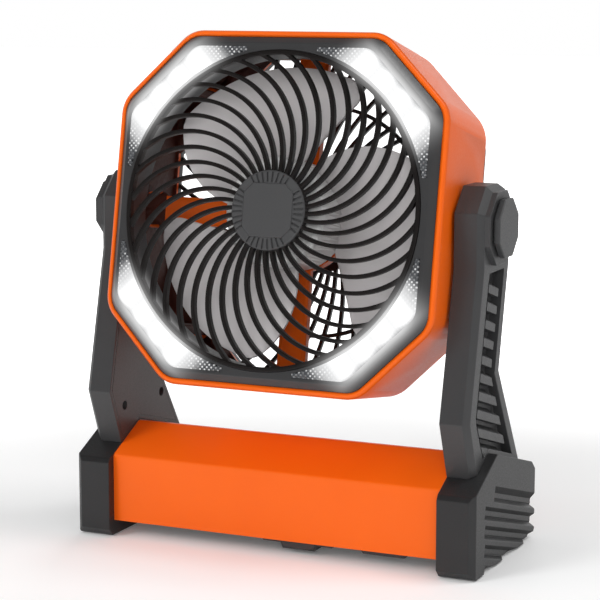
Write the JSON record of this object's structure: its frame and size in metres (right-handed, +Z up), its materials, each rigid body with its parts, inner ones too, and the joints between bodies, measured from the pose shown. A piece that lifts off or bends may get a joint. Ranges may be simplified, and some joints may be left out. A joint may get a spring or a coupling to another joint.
{
  "type": "rechargeable fan",
  "caption": "Battery fan with an octagonal tilting head, corner lights and a spiral-ribbed grille, held by louvred arms on a roof-shaped base with grooved feet.",
  "frame": {"origin": "ground plane, under the centre of the whole object's box", "axes": "+Z up, -Y is the front with the grille, X across"},
  "size_m": [0.2504, 0.119, 0.2941],
  "materials": {
    "orange_plastic": "smooth moulded",
    "charcoal_plastic": "fine grained",
    "black_plastic": "satin",
    "grey_smoke_plastic": "smooth, part see-through",
    "clear_lens": "clear, prismatic",
    "white_chip": "light chip",
    "board_green": "solder mask",
    "board_white": "solder mask",
    "steel": "zinc plated",
    "core_steel": "stacked sheet",
    "magnet": "pressed ferrite",
    "copper_wire": "enamelled",
    "cell_wrap": "shrink film over a steel can",
    "rubber": "matte",
    "port_steel": "plated",
    "frosted_window": "frosted"
  },
  "bodies": {
    "stand": {"right_foot": "charcoal_plastic", "left_foot": "charcoal_plastic", "right_arm": "charcoal_plastic", "left_arm": "charcoal_plastic", "right_arm_cover": "charcoal_plastic", "left_arm_cover": "charcoal_plastic", "right_pivot_cap": "charcoal_plastic", "left_pivot_cap": "charcoal_plastic", "foot_pads": "rubber", "foot_screws": "steel", "arm_screws": "steel", "spring_washers": "steel", "friction_washers": "rubber", "base_housing": "orange_plastic", "base_bottom_cover": "charcoal_plastic", "base_cover_screws": "steel", "battery_tray": "black_plastic", "battery_cells": "cell_wrap", "main_board": "board_green", "tact_switches": "black_plastic", "indicator_window": "frosted_window", "usb_a_port": "port_steel", "usb_c_port": "port_steel"},
    "head": {"head_shell": "orange_plastic", "front_bezel": "black_plastic", "front_grille": "black_plastic", "grille_hub_plate": "charcoal_plastic", "led_boards": "board_white", "leds": "white_chip", "bezel_screws": "steel", "rear_guard": "black_plastic", "rear_guard_screws": "steel", "motor_base": "core_steel", "motor_screws": "steel", "motor_bearings": "steel", "stator_core": "core_steel", "stator_windings": "copper_wire", "right_pivot_pin": "steel", "left_pivot_pin": "steel", "pivot_nuts": "steel", "led_lens_top_right": "clear_lens", "led_lens_top_left": "clear_lens", "led_lens_bottom_left": "clear_lens", "led_lens_bottom_right": "clear_lens"},
    "rotor": {"impeller": "grey_smoke_plastic", "rotor_yoke": "core_steel", "rotor_magnet": "magnet", "rotor_shaft": "steel", "shaft_clip": "steel"},
    "fan_button": {"fan_button": "charcoal_plastic"},
    "light_button": {"light_button": "charcoal_plastic"},
    "port_flap": {"port_flap": "rubber"}
  },
  "joints": [
    {"name": "head_tilt", "type": "hinge", "parent": "stand", "child": "head", "pos_m": [0, 0.00039, 0.1886], "axis": [-1, 0, 0], "range_deg": [-101, 169]},
    {"name": "rotor_spin", "type": "hinge", "parent": "head", "child": "rotor", "pos_m": [0, 0.00039, 0.1886], "axis": [0, -0.9816, 0.1908], "continuous": true},
    {"name": "fan_button_press", "type": "slide", "parent": "stand", "child": "fan_button", "axis": [0, -1, 0], "range_m": [0, 0.0008], "stiffness_N_per_m": 1500, "springref_m": -0.0003},
    {"name": "light_button_press", "type": "slide", "parent": "stand", "child": "light_button", "axis": [0, -1, 0], "range_m": [0, 0.0008], "stiffness_N_per_m": 1500, "springref_m": -0.0003},
    {"name": "port_flap_hinge", "type": "hinge", "parent": "stand", "child": "port_flap", "pos_m": [-0.03825, 0.05249, 0.0205], "axis": [-1, 0, 0], "range_deg": [0, 90]}
  ]
}
